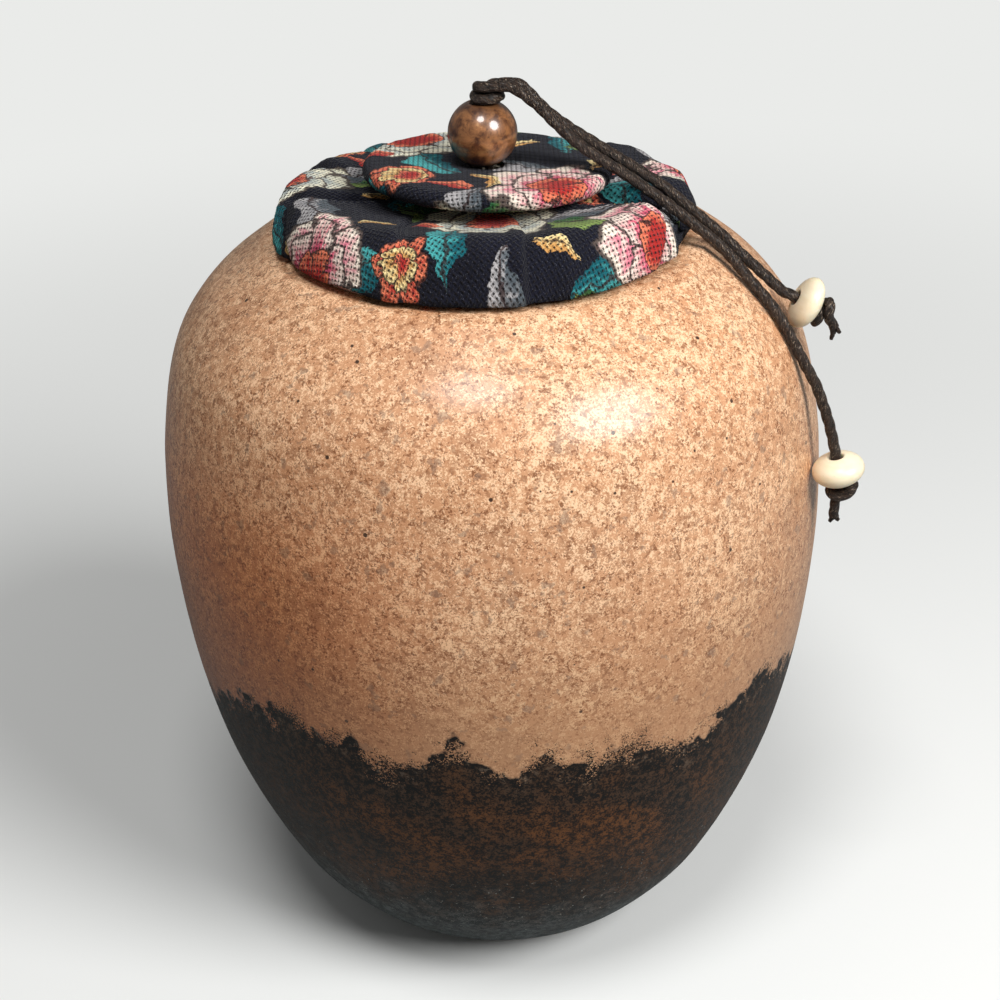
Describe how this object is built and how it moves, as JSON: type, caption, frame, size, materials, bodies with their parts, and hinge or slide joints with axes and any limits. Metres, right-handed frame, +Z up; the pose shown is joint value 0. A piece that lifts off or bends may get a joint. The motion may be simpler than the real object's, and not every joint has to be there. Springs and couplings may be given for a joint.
{
  "type": "tea_caddy",
  "caption": "Ceramic tea caddy with a cloth-covered cork stopper, a wooden knob bead and two beaded cord tails",
  "frame": {"origin": "centre of the foot ring, on the surface the jar stands on", "axes": "+X to the side where the cord tails hang, -Y to the front, +Z up"},
  "size_m": [0.1246, 0.12, 0.1656],
  "materials": {
    "glaze": "two satin glazes, speckled tan over dark brown",
    "cork": "raw cork",
    "plain_cloth": "plain dark cotton",
    "board": "stiff grey board",
    "padding": "cotton wadding",
    "print_cloth": "coarse cotton with a floral print on navy",
    "wood": "polished burl wood",
    "cord": "waxed braided cord",
    "steel": "plain steel",
    "ivory": "ivory-coloured bead, satin"
  },
  "bodies": {
    "jar": {"jar_body": "glaze"},
    "lid": {"stopper_cork": "cork", "stopper_cloth_cup": "plain_cloth", "lid_board": "board", "cushion_padding": "padding", "cushion_cover": "print_cloth", "button_core": "board", "button_cover": "print_cloth", "knob_wrap": "cord", "riser_strand_long": "cord", "riser_strand_short": "cord", "cord_washer": "steel", "cord_anchor_knot": "cord", "long_tail": "cord", "short_tail": "cord", "long_end_knot": "cord", "short_end_knot": "cord"},
    "knob": {"knob_bead": "wood"},
    "long_bead": {"long_tail_bead": "ivory"},
    "short_bead": {"short_tail_bead": "ivory"}
  },
  "joints": [
    {"name": "lid_lift", "type": "slide", "parent": "jar", "child": "lid", "axis": [0, 0, 1], "range_m": [0, 0.06]},
    {"name": "knob_bead_spin", "type": "hinge", "parent": "lid", "child": "knob", "pos_m": [0, 0, 0.156], "axis": [0, 0, 1], "continuous": true},
    {"name": "long_bead_spin", "type": "hinge", "parent": "lid", "child": "long_bead", "pos_m": [0.0601, -0.0229, 0.101], "axis": [0.2095, 0, -0.9778], "continuous": true},
    {"name": "short_bead_spin", "type": "hinge", "parent": "lid", "child": "short_bead", "pos_m": [0.0543, -0.0155, 0.1294], "axis": [0.8709, 0.03, -0.4905], "continuous": true}
  ]
}
